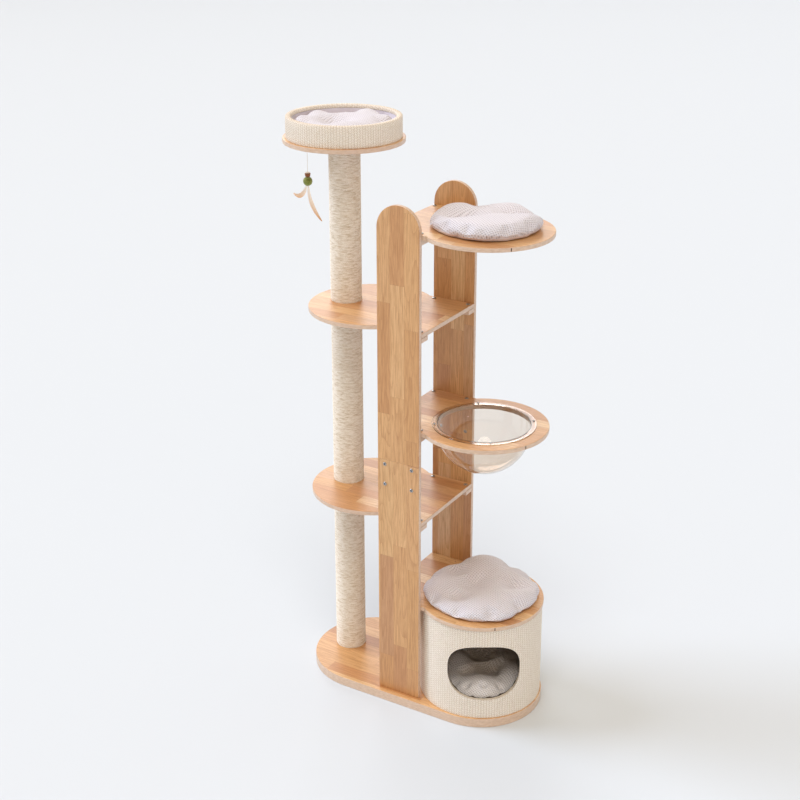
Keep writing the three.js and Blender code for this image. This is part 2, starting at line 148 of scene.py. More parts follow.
def feed(node, inputs):
    """Gives a node's inputs, named or in order, their values or their links."""
    for key, value in inputs.items() if isinstance(inputs, dict) else enumerate(inputs):
        if isinstance(value, bpy.types.NodeSocket):
            node.id_data.links.new(value, node.inputs[key])
        else:
            node.inputs[key].default_value = value


def add_node(tree, kind, inputs=(), out=0, stops=(), **settings):
    """Adds a node with its settings and inputs, and on a colour ramp its (place, hex colour) stops.
    Returns one of the node's outputs."""
    node = tree.nodes.new("ShaderNode" + kind)
    for name, value in settings.items():
        setattr(node, name, value)
    if stops:
        elements = node.color_ramp.elements
        while len(elements) < len(stops):
            elements.new(0.5)
        for element, (place, hex_colour) in zip(elements, stops):
            element.position = place
            element.color = linear(hex_colour)
    feed(node, inputs)
    return node.outputs[out]


def new_material(name):
    """Returns a material, the function that adds a node to it, and its Principled shader."""
    material = bpy.data.materials.new(name)
    material.use_nodes = True
    tree = material.node_tree
    return material, partial(add_node, tree), tree.nodes["Principled BSDF"]


def stretched_noise(add, scale, detail=3.0, roughness=0.55, place=None):
    """Noise with its own scale along each axis, in patches per metre. Its place is that on the
    object, unless another is given."""
    if place is None:
        place = add("TexCoord", out="Object")
    vector = add("Mapping", {"Vector": place, "Scale": scale})
    return add("TexNoise", {"Vector": vector, "Scale": 1.0, "Detail": detail, "Roughness": roughness})


# --- materials


def floor_paint():
    """Matt pale studio paint: even and without shine."""
    material, _, shader = new_material("matt_floor_paint")
    feed(shader, {"Base Color": linear("#d2dbe3"), "Roughness": 0.9})
    return material


def rubberwood(name, grain_axis):
    """Finger-jointed rubberwood under satin lacquer: staves of many tones, fine pores, a soft shine."""
    material, add, shader = new_material(name)
    coordinates = add("TexCoord").node.outputs
    place = coordinates["Object"]
    axes = add("SeparateXYZ", [place]).node.outputs
    along, across, depth = [axes[axis] for axis in ("ZXY" if grain_axis == "Z" else "XYZ")]
    seed = add("ObjectInfo", out="Random")

    # which stave, and which block of it between two finger joints
    stave_count = add("Math", [across, STAVE], operation="DIVIDE")
    stave_place = add("Math", [seed, 7.0, stave_count], operation="MULTIPLY_ADD")
    stave = add("Math", [stave_place], operation="FLOOR")
    stave_key = add("CombineXYZ", [stave, seed])
    offset = add("TexWhiteNoise", {"Vector": stave_key}, out="Value", noise_dimensions="3D")
    block_count = add("Math", [along, STAVE_LENGTH], operation="DIVIDE")
    block_place = add("Math", [offset, 9.0, block_count], operation="MULTIPLY_ADD")
    block = add("Math", [block_place], operation="FLOOR")
    block_key = add("CombineXYZ", [stave, block, seed])
    chance = add("TexWhiteNoise", {"Vector": block_key}, noise_dimensions="3D").node.outputs

    # the grain of each block is cut from its own piece of wood
    shift = add("VectorMath", [chance["Color"], (9.0, 9.0, 9.0)], operation="MULTIPLY")
    lengthwise = add("CombineXYZ", [along, across, depth])
    grain_place = add("VectorMath", [lengthwise, shift], operation="ADD")
    streaks = stretched_noise(add, (11, 400, 400), detail=4.0, roughness=0.7, place=grain_place)
    clouds = stretched_noise(add, (2.5, 16, 16), detail=2.0, place=grain_place)
    growth = stretched_noise(add, (1.7, 20, 20), detail=1.0, place=grain_place)
    pores = stretched_noise(add, (24, 420, 420), place=grain_place)

    tones = [(0.0, "#edcc9a"), (0.2, "#cf9d66"), (0.38, "#e6bd8a"), (0.55, "#bf8550"), (0.7, "#deb17c")]
    tones += [(0.86, "#bb8459"), (1.0, "#f4d9ae")]
    colour = add("ValToRGB", [chance["Value"]], stops=tones)
    shade = add("ValToRGB", [streaks], stops=[(0.36, "#cbb391"), (0.56, "#ffffff")])
    colour = add("Mix", {0: 0.75, 6: colour, 7: shade}, **MULTIPLIED)
    cloudy = add("Math", [clouds, 0.3], operation="MULTIPLY")
    colour = add("Mix", {0: cloudy, 6: colour, 7: linear("#cc9a60")}, **MIXED)

    # the late wood of each growth ring is darker, and so are the pores
    ring_count = add("Math", [growth, 15.0], operation="MULTIPLY")
    ring = add("Math", [add("Math", [ring_count], operation="FRACT"), 4.0], operation="POWER")
    late_wood = add("Math", [ring, 0.42], operation="MULTIPLY")
    colour = add("Mix", {0: late_wood, 6: colour, 7: linear("#a8713c")}, **MIXED)
    dark_pores = add("ValToRGB", [pores], stops=[(0.36, "#a0a0a0"), (0.44, "#000000")])
    colour = add("Mix", {0: dark_pores, 6: colour, 7: linear("#a06c3a")}, **MIXED)

    # hairlines where the staves are glued edge to edge and end to end
    seam = add("Math", [stave_place], operation="FRACT")
    seam = add("Math", [seam, 0.4 * MM / STAVE], operation="LESS_THAN")
    end_seam = add("Math", [block_place], operation="FRACT")
    end_seam = add("Math", [end_seam, 0.6 * MM / STAVE_LENGTH], operation="LESS_THAN")
    seams = add("Math", [add("Math", [seam, end_seam], operation="MAXIMUM"), 0.4], operation="MULTIPLY")
    colour = add("Mix", {0: seams, 6: colour, 7: linear("#8a5a31")}, **MIXED)

    # the narrow edges of the boards are paler and pinker than their faces
    facing = add("SeparateXYZ", [coordinates["Normal"]]).node.outputs
    facing = add("Math", [facing["Y" if grain_axis == "Z" else "Z"]], operation="ABSOLUTE")
    edge = add("Math", [facing, 0.75], operation="LESS_THAN")
    edge = add("Math", [edge, 0.85], operation="MULTIPLY")
    edge_streaks = stretched_noise(add, (70, 70, 300))
    edge_colour = add("ValToRGB", [edge_streaks], stops=[(0.3, "#c9af98"), (0.7, "#e3ccb9")])
    colour = add("Mix", {0: edge, 6: colour, 7: edge_colour}, **MIXED)

    feed(shader, {"Base Color": colour, "Roughness": 0.42, "Coat Weight": 0.6, "Coat Roughness": 0.42})
    feed(shader, {"Normal": add("Bump", {"Height": pores, "Distance": 0.15 * MM, "Strength": 0.5})})
    return material


def sisal_rope():
    """Wound sisal rope: matt cream plant fibre, with hair-fine strands that run round the post."""
    material, add, shader = new_material("sisal_rope")
    strands = stretched_noise(add, (50, 50, 380), detail=4.0, roughness=0.7)
    specks = stretched_noise(add, (420, 420, 420), roughness=0.7)
    colour = add("ValToRGB", [specks], stops=[(0.3, "#e4d9c8"), (0.5, "#f6efe3"), (0.7, "#fffbf3")])
    lines = add("ValToRGB", [strands], stops=[(0.36, "#cdbfa6"), (0.55, "#ffffff")])
    colour = add("Mix", {0: 0.7, 6: colour, 7: lines}, **MULTIPLIED)
    feed(shader, {"Base Color": colour, "Roughness": 0.95, "Specular IOR Level": 0.2})
    feed(shader, {"Normal": add("Bump", {"Height": strands, "Distance": 0.8 * MM})})
    return material


def sisal_matting():
    """Woven sisal matting: matt cream cords side by side, crossed by a thread every few millimetres, with
    painted shade in its hollows.
    """
    material, add, shader = new_material("sisal_matting")
    axes = add("SeparateXYZ", [add("UVMap", uv_map="cloth")]).node.outputs
    cord = add("Math", [axes["X"], RIB], operation="DIVIDE")

    # the threads lean one way on each half of a cord, and shift by half a stitch from cord to cord
    odd = add("Math", [add("Math", [cord], operation="FLOOR"), 0.5], operation="MULTIPLY")
    lean = add("Math", [add("Math", [cord], operation="FRACT"), 0.5], operation="SUBTRACT")
    lean = add("Math", [lean], operation="ABSOLUTE")
    stitch = add("Math", [axes["Y"], 7 * MM], operation="DIVIDE")
    stitch = add("Math", [stitch, add("Math", [odd, lean], operation="ADD")], operation="ADD")
    knots = add("Math", [add("Math", [stitch, 2 * pi], operation="MULTIPLY")], operation="SINE")
    cord_turn = add("Math", [add("Math", [cord, 0.5], operation="ADD"), 2 * pi], operation="MULTIPLY")
    round_cord = add("Math", [cord_turn], operation="COSINE")

    fibres = stretched_noise(add, (500, 500, 140), detail=4.0, roughness=0.7)
    colour = add("ValToRGB", [fibres], stops=[(0.25, "#e2d8c8"), (0.5, "#f4ece0"), (0.75, "#fdf8ef")])
    round_cord = add("Math", [round_cord, 0.3], operation="MULTIPLY")
    height = add("Math", [knots, 0.5, round_cord], operation="MULTIPLY_ADD")
    depth = add("Math", [height, 0.6, 0.5], operation="MULTIPLY_ADD")
    # painted shade: the colour darkens where the matting is low, between the cords and under the threads
    hollows = add("ValToRGB", [depth], stops=[(0.0, "#bfb09a"), (0.55, "#ffffff")])
    colour = add("Mix", {0: 0.7, 6: colour, 7: hollows}, **MULTIPLIED)
    relief = add("Math", [fibres, 0.5, height], operation="MULTIPLY_ADD")
    feed(shader, {"Base Color": colour, "Roughness": 0.95, "Specular IOR Level": 0.2})
    feed(shader, {"Normal": add("Bump", {"Height": relief, "Distance": 0.9 * MM})})
    return material


def waffle_cotton(name, light_colour, pit_shade_colour):
    """Waffle-woven cotton: soft and matt, with small square pits between raised threads. The pits are
    painted darker, as painted shade.
    """
    material, add, shader = new_material(name)
    place = add("UVMap", uv_map="cloth")
    cells = add("Mapping", {"Vector": place, "Scale": (1 / WAFFLE, 1 / WAFFLE, 1.0)})
    axes = add("SeparateXYZ", [cells]).node.outputs
    turns = [add("Math", [axes[axis], 2 * pi], operation="MULTIPLY") for axis in "XY"]
    waves = [add("Math", [turn], operation="COSINE") for turn in turns]
    ridges = add("Math", waves, operation="MAXIMUM")
    fuzz = stretched_noise(add, (900, 900, 900), roughness=0.7)
    rise = add("Math", [ridges, 0.5, 0.5], operation="MULTIPLY_ADD")
    # painted shade: the low pits take the darker colour, the raised threads the light one
    colour = add("ValToRGB", [rise], stops=[(0.1, pit_shade_colour), (0.8, light_colour)])
    lint = add("ValToRGB", [fuzz], stops=[(0.3, "#efecec"), (0.7, "#ffffff")])
    colour = add("Mix", {0: 0.6, 6: colour, 7: lint}, **MULTIPLIED)
    relief = add("Math", [fuzz, 0.4, ridges], operation="MULTIPLY_ADD")
    feed(shader, {"Base Color": colour, "Roughness": 0.95, "Specular IOR Level": 0.15, "Sheen Weight": 0.2})
    feed(shader, {"Normal": add("Bump", {"Height": relief, "Distance": 0.9 * MM})})
    return material


def plain_cotton(name, hex_colour):
    """Plain-woven cotton: smooth and matt. Its 1.2 mm weave is just coarse enough to show."""
    material, add, shader = new_material(name)
    place = add("TexCoord", out="Object")
    axes = add("SeparateXYZ", [place]).node.outputs
    flat = add("Math", [axes["X"], axes["Y"]], operation="ADD")
    thread = 2 * pi / (1.2 * MM)
    turns = [add("Math", [value, thread], operation="MULTIPLY") for value in (flat, axes["Z"])]
    threads = [add("Math", [turn], operation="SINE") for turn in turns]
    weave = add("Math", threads, operation="MULTIPLY")
    soiling = stretched_noise(add, (25, 25, 25))
    tint = add("ValToRGB", [soiling], stops=[(0.3, "#efeaea"), (0.7, "#ffffff")])
    colour = add("Mix", {0: 0.5, 6: linear(hex_colour), 7: tint}, **MULTIPLIED)
    feed(shader, {"Base Color": colour, "Roughness": 0.9, "Specular IOR Level": 0.2, "Sheen Weight": 0.15})
    feed(shader, {"Normal": add("Bump", {"Height": weave, "Distance": 0.15 * MM})})
    return material


def clear_acrylic():
    """Blown clear acrylic: thin and glassy, with a faint warm tint. A low IOR keeps its rim clear."""
    material, _, shader = new_material("clear_acrylic")
    feed(shader, {"Base Color": linear("#f5ece2"), "Roughness": 0.03, "IOR": 1.3})
    feed(shader, {"Transmission Weight": 1.0, "Coat Weight": 0.7, "Coat Roughness": 0.05})
    return material


def zinc_plate():
    """Bright zinc plate on steel: silver with faint turning marks."""
    material, add, shader = new_material("zinc_plate")
    marks = stretched_noise(add, (900, 900, 900))
    colour = add("ValToRGB", [marks], stops=[(0.3, "#9fa1a3"), (0.7, "#c6c8ca")])
    roughness = add("Math", [marks, 0.2, 0.18], operation="MULTIPLY_ADD")
    feed(shader, {"Base Color": colour, "Roughness": roughness, "Metallic": 1.0})
    return material


def pressed_card():
    """Pressed pale card: dull cream paper with fibres."""
    material, add, shader = new_material("pressed_card")
    fibres = stretched_noise(add, (300, 300, 80), detail=4.0)
    colour = add("ValToRGB", [fibres], stops=[(0.3, "#cbbda6"), (0.7, "#e2d8c8")])
    relief = add("Bump", {"Height": fibres, "Distance": 0.2 * MM})
    feed(shader, {"Base Color": colour, "Roughness": 0.9, "Normal": relief})
    return material


def wool_felt():
    """Needled wool felt: olive green, fuzzy and mottled."""
    material, add, shader = new_material("wool_felt")
    fibres = stretched_noise(add, (700, 700, 700), detail=5.0, roughness=0.8)
    clumps = stretched_noise(add, (180, 180, 180), detail=2.0)
    clumps = add("Math", [clumps, 0.5], operation="MULTIPLY")
    mottle = add("Math", [fibres, 0.5, clumps], operation="MULTIPLY_ADD")
    colour = add("ValToRGB", [mottle], stops=[(0.35, "#5c6a22"), (0.5, "#7f8b3c"), (0.65, "#a3a95c")])
    relief = add("Bump", {"Height": fibres, "Distance": 0.8 * MM})
    feed(shader, {"Base Color": colour, "Roughness": 1.0, "Sheen Weight": 0.5, "Normal": relief})
    return material


def brown_leather():
    """Vegetable-tanned leather: dark brown with a fine pebble grain."""
    material, add, shader = new_material("brown_leather")
    pebble_size = 1.2 * MM
    place = add("TexCoord", out="Object")
    pebbles = add("TexVoronoi", {"Vector": place, "Scale": 1 / pebble_size}, out="Distance")
    colour = add("ValToRGB", [pebbles], stops=[(0.1, "#66381a"), (0.6, "#91582c")])
    relief = add("Bump", {"Height": pebbles, "Distance": 0.25 * MM})
    feed(shader, {"Base Color": colour, "Roughness": 0.55, "Normal": relief})
    return material


def goose_feather(name, root_z, tip_z):
    """Dyed goose feather: cream at the quill and orange brown at the tip, with fine slanting barbs."""
    material, add, shader = new_material(name)
    place = add("TexCoord", out="Object")
    axes = add("SeparateXYZ", [place]).node.outputs
    run = add("MapRange", [axes["Z"], root_z, tip_z])
    slanted = add("Mapping", {"Vector": place, "Rotation": (0, radians(35), 0)})
    barbs = stretched_noise(add, (250, 60, 1600), place=slanted)
    run = add("Math", [run, 0.08], operation="SUBTRACT")
    run = add("Math", [barbs, 0.16, run], operation="MULTIPLY_ADD")
    stops = [(0.0, "#fbf4ec"), (0.45, "#f6e2cd"), (0.85, "#e5b88d"), (1.0, "#d0965f")]
    colour = add("ValToRGB", [run], stops=stops)
    relief = add("Bump", {"Height": barbs, "Distance": 0.3 * MM})
    feed(shader, {"Base Color": colour, "Roughness": 0.6, "Sheen Weight": 0.3, "Normal": relief})
    return material


def braided_string():
    """Thin braided elastic: off-white, with crossing strands."""
    material, add, shader = new_material("braided_string")
    strands = stretched_noise(add, (1500, 1500, 900))
    colour = add("ValToRGB", [strands], stops=[(0.35, "#cfc9bb"), (0.65, "#f1ede2")])
    relief = add("Bump", {"Height": strands, "Distance": 0.2 * MM})
    feed(shader, {"Base Color": colour, "Roughness": 0.85, "Normal": relief})
    return material


# --- helpers for shapes


def deselect():
    if bpy.context.object and bpy.context.object.mode != "OBJECT":
        bpy.ops.object.mode_set(mode="OBJECT")
    bpy.ops.object.select_all(action="DESELECT")


def activate(piece):
    """Makes the piece the active object and the only selected one."""
    deselect()
    piece.select_set(True)
    bpy.context.view_layer.objects.active = piece


def apply_place():
    """Moves the active object's place, turn and size into its mesh, and returns the object."""
    bpy.ops.object.transform_apply(location=True, rotation=True, scale=True)
    return bpy.context.object


def face_outwards():
    """Turns the faces of the mesh in edit mode outwards, and leaves edit mode."""
    bpy.ops.mesh.select_all(action="SELECT")
    bpy.ops.mesh.normals_make_consistent(inside=False)
    bpy.ops.object.mode_set(mode="OBJECT")


def set_up(piece, name, body, material, angle=None, node=None):
    """Names a finished piece, moves its place into its mesh and ties it to its body. Where they are
    given, it is shaded smooth up to an angle, and it takes the place of a CAD node."""
    activate(piece)
    apply_place()
    piece.name = name
    piece.data.materials.clear()
    piece.data.materials.append(material)
    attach(piece, body)
    if angle:
        smooth(piece, angle)
    if node:
        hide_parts(node)


def smooth(piece, angle):
    """Shades the piece smooth, but for edges sharper than the given angle."""
    activate(piece)
    bpy.ops.object.shade_smooth_by_angle(angle=radians(angle))


def apply_modifier(piece, kind, **settings):
    """Adds a modifier with its settings to the piece and applies it."""
    activate(piece)
    modifier = piece.modifiers.new(kind.lower(), kind)
    for name, value in settings.items():
        setattr(modifier, name, value)
    if hasattr(modifier, "levels"):
        modifier.render_levels = modifier.levels
    bpy.ops.object.modifier_apply(modifier=modifier.name)


def lathe(profile, sides, centre):
    """A closed turned piece: a circle drawn upwards and outwards through its [radius, height] points.
    A profile that ends where it starts gives a ring; otherwise both ends are capped."""
    x, y, z = centre
    closed = profile[0] == profile[-1]
    radius, height = profile[0]
    place = (x, y, z + height)
    deselect()
    bpy.ops.mesh.primitive_circle_add(vertices=sides, radius=radius, location=place)
    piece = apply_place()
    bpy.ops.object.mode_set(mode="EDIT")
    bpy.ops.mesh.select_all(action="SELECT")
    if not closed:
        bpy.ops.mesh.edge_face_add()
        bpy.ops.mesh.select_all(action="SELECT")
    for next_radius, next_height in profile[1:]:
        if closed:
            bpy.ops.mesh.extrude_edges_move()
        else:
            bpy.ops.mesh.extrude_region_move()
        grow = next_radius / radius
        bpy.ops.transform.resize(value=(grow, grow, 1), center_override=(x, y, z))
        bpy.ops.transform.translate(value=(0, 0, next_height - height))
        radius, height = next_radius, next_height
    bpy.ops.mesh.select_all(action="SELECT")
    bpy.ops.mesh.remove_doubles(threshold=1e-6)
    face_outwards()
    return piece


def select_vertices(piece, wanted):
    """Selects, in edit mode, the vertices for which wanted(co) is true."""
    activate(piece)
    bpy.ops.object.mode_set(mode="EDIT")
    bpy.ops.mesh.select_mode(type="VERT")
    bpy.ops.mesh.select_all(action="DESELECT")
    bpy.ops.object.mode_set(mode="OBJECT")
    for vertex in piece.data.vertices:
        vertex.select = wanted(vertex.co)
    bpy.ops.object.mode_set(mode="EDIT")


def wrap_map(piece, centre_x, radius):
    """The cloth map of a turned wall: metres round it and metres up it."""
    layer = piece.data.uv_layers.new(name="cloth")
    for polygon in piece.data.polygons:
        middle = atan2(polygon.center.y, polygon.center.x - centre_x)
        for loop in polygon.loop_indices:
            co = piece.data.vertices[piece.data.loops[loop].vertex_index].co
            angle = atan2(co.y, co.x - centre_x)
            angle += 2 * pi * round((middle - angle) / (2 * pi))
            fold = max(0.0, radius - hypot(co.x - centre_x, co.y))
            layer.data[loop].uv = (angle * radius, co.z + fold)


# --- the hanging toy


def make_string():
    """The toy's elastic string: a straight hanging cord between its loop and its cap."""
    x, y, top = STRING_TOP
    curve = bpy.data.curves.new("hanging_string", "CURVE")
    curve.dimensions = "3D"
    curve.bevel_depth = STRING_WIDTH / 2
    curve.use_fill_caps = True
    spline = curve.splines.new("POLY")
    count = 16
    spline.points.add(count - 1)
    for index, point in enumerate(spline.points):
        point.co = (x, y, top - STRING_LENGTH * index / (count - 1), 1)
    string = bpy.data.objects.new("hanging_string", curve)
    bpy.context.collection.objects.link(string)
    string.data.materials.append(braided_string())
    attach(string, "toy")
    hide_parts("toy_string")


# --- wooden boards and hidden parts


def paint(node_name, material):
    """Gives a CAD node its material."""
    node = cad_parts[node_name]
    for slot in node.material_slots:
        slot.material = material


def finish_cad_nodes():
    """Paints the CAD nodes that stay as they are; returns the zinc for the other fasteners."""
    upright_wood = rubberwood("rubberwood_upright", "Z")
    board_wood = rubberwood("rubberwood_board", "X")
    card = pressed_card()
    zinc = zinc_plate()
    string = braided_string()
    levels = ("lower", "middle", "upper")
    for side in ("front", "rear"):
        for level in ("lower", "upper"):
            paint(f"{side}_upright_{level}", upright_wood)
    for shelf in SHELVES:
        for part in ("", "_front_batten", "_rear_batten"):
            paint(shelf + part, board_wood)
    for name in ("base_plate", "bed_plate"):
        paint(name, board_wood)
    for end in ("bottom", "top"):
        for level in levels:
            paint(f"{level}_post_{end}_plug", upright_wood)
    for name in ["bed_ring", "condo_wall"] + [f"{level}_post_tube" for level in levels]:
        paint(name, card)
    metal = ["base_post_bolt", "lower_shelf_stud", "middle_shelf_stud", "bed_plate_bolt", "toy_eyelet"]
    for name in metal + [f"bowl_screw_{number}" for number in (1, 2, 3, 4)]:
        paint(name, zinc)
    paint("toy_loop", string)
    return zinc


# --- scratching posts


def make_post_rope(level, material):
    """Rope wound round one post: a half round drawn up a screw line, trimmed and given a thickness."""
    node = f"{level}_post_sisal"
    low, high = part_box(node)
    bottom, top = low[2], high[2]
    turns = ceil((top - bottom) / ROPE) + 3
    middle = POST_RADIUS - ROPE / 2
    place = (middle, 0, bottom - ROPE)
    on_side = (pi / 2, 0, 0)
    deselect()
    bpy.ops.mesh.primitive_circle_add(vertices=8, radius=ROPE / 2, location=place, rotation=on_side)
    rope = apply_place()
    select_vertices(rope, lambda co: co.x < middle - ROPE / 10)
    bpy.ops.mesh.delete(type="VERT")
    bpy.ops.object.mode_set(mode="OBJECT")
    around = 36
    screw_line = {"axis": "Z", "screw_offset": ROPE, "iterations": turns}
    apply_modifier(rope, "SCREW", **screw_line, steps=around, render_steps=around)
    bpy.ops.object.mode_set(mode="EDIT")
    bpy.ops.mesh.select_all(action="SELECT")
    bpy.ops.mesh.remove_doubles(threshold=1e-5)
    bpy.ops.mesh.bisect(plane_co=(0, 0, bottom), plane_no=(0, 0, 1), clear_inner=True)
    bpy.ops.mesh.select_all(action="SELECT")
    bpy.ops.mesh.bisect(plane_co=(0, 0, top), plane_no=(0, 0, 1), clear_outer=True)
    face_outwards()
    outward = sum(p.normal.x * p.center.x + p.normal.y * p.center.y for p in rope.data.polygons)
    if outward < 0:
        rope.data.flip_normals()
    apply_modifier(rope, "SOLIDIFY", thickness=1.2 * MM, offset=-1)
    rope.location = (POST_X, 0, 0)
    set_up(rope, f"{level}_post_rope", "tree", material, 60, node)


# --- bed


def make_bed(matting, lining_cloth):
    """The bed's matting: up the outside of its ring, over the rim and a little way down inside."""
    outer = BED_RADIUS
    thick = 3.7 * MM
    core_outer = outer - thick
    fold_outer = 152.7 * MM
    fold_inner = 149 * MM
    bottom, top = BED_FLOOR, BED_TOP
    fold_end = top - 10 * MM
    profile = [
        (core_outer, bottom), (outer, bottom), (outer, bottom + 20 * MM), (outer, bottom + 40 * MM),
        (outer, top - 4 * MM), (outer - 1.2 * MM, top - 1.2 * MM), (outer - 4 * MM, top),
        (fold_inner + 4 * MM, top), (fold_inner + 1.2 * MM, top - 1.2 * MM), (fold_inner, top - 4 * MM),
        (fold_inner, fold_end), (fold_outer, fold_end), (fold_outer, top - thick),
        (core_outer, top - thick), (core_outer, bottom),
    ]
    ribs = 130
    ring = lathe(profile, ribs * 4, (BED_X, 0, 0))

    def on_skin(co):
        radius = hypot(co.x - BED_X, co.y)
        return radius > core_outer + 1 * MM or co.z > top - 3 * MM or radius < fold_inner + 1 * MM

    raise_ribs(ring, BED_X, ribs, on_skin)
    wrap_map(ring, BED_X, outer)
    set_up(ring, "bed_ring_matting", "tree", matting, 70, "bed_ring_sisal")
    make_bed_lining(fold_outer, bottom, fold_end, lining_cloth)


def make_bed_lining(outer, bottom, top, material):
    """Cotton cup inside the bed, laid on its plate and loosely creased up its wall."""
    cloth = 1.2 * MM
    rows = [bottom + cloth + (top - bottom - 2 * cloth) * part / 5 for part in range(6)]
    profile = [(1 * MM, bottom), (outer * 0.6, bottom), (outer - 2 * MM, bottom)]
    profile += [(outer - 0.3 * MM, z) for z in rows]
    profile += [(outer - 0.3 * MM - cloth, z) for z in reversed(rows)]
    profile += [(outer * 0.6, bottom + cloth), (1 * MM, bottom + cloth)]
    lining = lathe(profile, 96, (BED_X, 0, 0))
    for vertex in lining.data.vertices:
        co = vertex.co
        reach = max(0.0, (hypot(co.x - BED_X, co.y) - outer * 0.9) / (outer * 0.1))
        crease = noise.noise(Vector((co.x * 55, co.y * 55, co.z * 18)))
        pull = 1 - reach * (0.5 + 0.5 * crease) * 3 * MM / outer
        vertex.co.x = BED_X + (co.x - BED_X) * pull
        vertex.co.y *= pull
    set_up(lining, "bed_lining_cloth", "tree", material, 60, "bed_lining")


def raise_ribs(piece, centre_x, ribs, on_skin):
    """Raises the ribs of a turned wall with four columns a rib: one column out, the opposite one in."""
    step = 2 * pi / ribs
    for phase, depth in ((0.0, -RIB_DEPTH / 2), (0.5, RIB_DEPTH / 2)):

        def on_column(co):
            turn = (atan2(co.y, co.x - centre_x) / step - phase) % 1.0
            return min(turn, 1.0 - turn) < 0.1 and on_skin(co)

        select_vertices(piece, on_column)
        bpy.ops.transform.shrink_fatten(value=depth)
        bpy.ops.object.mode_set(mode="OBJECT")


# --- den


def doorway_cutter(widening):
    """A prism with the doorway's rounded outline, from the den's axis out through its wall."""
    half_width = 105 * MM + widening
    bottom, top = 87 * MM, 264 * MM
    half_height = (top - bottom) / 2 + widening
    power = 2 / 2.6  # from an ellipse towards a rounded rectangle
    length = 0.22
    on_side = (pi / 2, 0, 0)
    deselect()
    bpy.ops.mesh.primitive_cylinder_add(vertices=96, radius=1, depth=length, rotation=on_side)
    cutter = apply_place()
    for vertex in cutter.data.vertices:
        across, up = vertex.co.x, vertex.co.z
        vertex.co.x = half_width * copysign(abs(across) ** power, across)
        vertex.co.z = (bottom + top) / 2 + half_height * copysign(abs(up) ** power, up)
        vertex.co.y -= length / 2
    cutter.rotation_euler = (0, 0, DOORWAY_TURN)
    cutter.location = (DEN_X, 0, 0)
    return cutter


def cut_doorway(piece, widening, solver="EXACT"):
    cutter = doorway_cutter(widening)
    apply_modifier(piece, "BOOLEAN", operation="DIFFERENCE", object=cutter, solver=solver)
    bpy.data.objects.remove(cutter)


def make_den(matting, waffle):
    """The den's matting with its doorway, and the lining behind it."""
    ribs = 140
    outer, inner = DEN_RADIUS, DEN_RADIUS - 3.7 * MM
    heights = [DEN_FLOOR + (DEN_TOP - DEN_FLOOR) * part / 12 for part in range(13)]
    profile = [(inner, DEN_FLOOR)] + [(outer, z) for z in heights] + [(inner, DEN_TOP), (inner, DEN_FLOOR)]
    wall = lathe(profile, ribs * 4, (DEN_X, 0, 0))
    raise_ribs(wall, DEN_X, ribs, lambda co: hypot(co.x - DEN_X, co.y) > inner + 1 * MM)
    cut_doorway(wall, 0)
    wrap_map(wall, DEN_X, outer)
    set_up(wall, "den_matting", "tree", matting, 70, "condo_sisal")
    make_den_lining(waffle)


def make_den_lining(waffle):
    """Waffle cloth inside the den's wall, in slack slanting folds. Its dark cotton is painted shade."""
    outer = DEN_RADIUS - 12.3 * MM
    cloth = 1.6 * MM
    rows = 24
    heights = [DEN_FLOOR + (DEN_TOP - DEN_FLOOR) * part / rows for part in range(rows + 1)]
    profile = [(outer, z) for z in heights]
    profile += [(outer - cloth, z) for z in reversed(heights)] + [profile[0]]
    lining = lathe(profile, 160, (DEN_X, 0, 0))
    for vertex in lining.data.vertices:
        co = vertex.co
        slant = atan2(co.y, co.x - DEN_X) + co.z * 3
        wave = noise.noise(Vector((3.2 * cos(slant), 3.2 * sin(slant), co.z * 9)))
        fold = max(0.0, 1 - abs(wave) * 5) ** 2
        ends = min(co.z - DEN_FLOOR, DEN_TOP - co.z) / (30 * MM)
        pull = 1 - min(1.0, max(0.0, ends)) * (0.25 + 0.75 * fold) * 11 * MM / outer
        vertex.co.x = DEN_X + (co.x - DEN_X) * pull
        vertex.co.y *= pull
    cut_doorway(lining, 1.5 * MM, solver="FAST")
    wrap_map(lining, DEN_X, outer)
    set_up(lining, "den_lining_cloth", "tree", waffle, 60, "condo_lining")


# --- bowl


def make_bowl():
    """Blown bowl that hangs from a flat flange with rounded edges, in one even wall."""
    radius, sheet, step = 135 * MM, 2 * MM, 10 * MM
    under = BOWL_TOP - 3 * MM
    steps = 26
    turns = [radians(90) * index / steps for index in range(steps + 1)]
    outside = [(max(1 * MM, radius * sin(a)), under - step - radius * cos(a)) for a in turns]
    inner = radius - sheet
    inside = [(max(1 * MM, inner * sin(a)), under - step - inner * cos(a)) for a in reversed(turns)]
    flange = [
        (radius, under), (148.4 * MM, under), (149 * MM, under + 0.6 * MM),
        (149 * MM, under + sheet - 0.6 * MM), (148.4 * MM, under + sheet),
        (inner + 1.6 * MM, under + sheet), (inner + 0.4 * MM, under + sheet - 0.6 * MM),
        (inner, under + sheet - 2 * MM),
    ]
    bowl = lathe(outside + flange + inside, 96, (DISC_X, 0, 0))
    set_up(bowl, "clear_bowl", "tree", clear_acrylic(), 40, "bowl")


# --- cushions


def cushion_start(node, shrink, flatten, voxel):
    """An even mesh of the CAD cushion's shape, a little smaller, for the cloth to fill."""
    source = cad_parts[node]
    pad = source.copy()
    pad.data = source.data.copy()
    bpy.context.collection.objects.link(pad)
    low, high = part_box(node)
    middle = ((low[0] + high[0]) / 2, (low[1] + high[1]) / 2, low[2])
    pad.parent = None
    select_vertices(pad, lambda co: True)
    bpy.ops.mesh.remove_doubles(threshold=1e-5)
    bpy.ops.transform.resize(value=(shrink, shrink, flatten), center_override=middle)
    bpy.ops.object.mode_set(mode="OBJECT")
    apply_modifier(pad, "REMESH", mode="VOXEL", voxel_size=voxel)
    return pad, middle


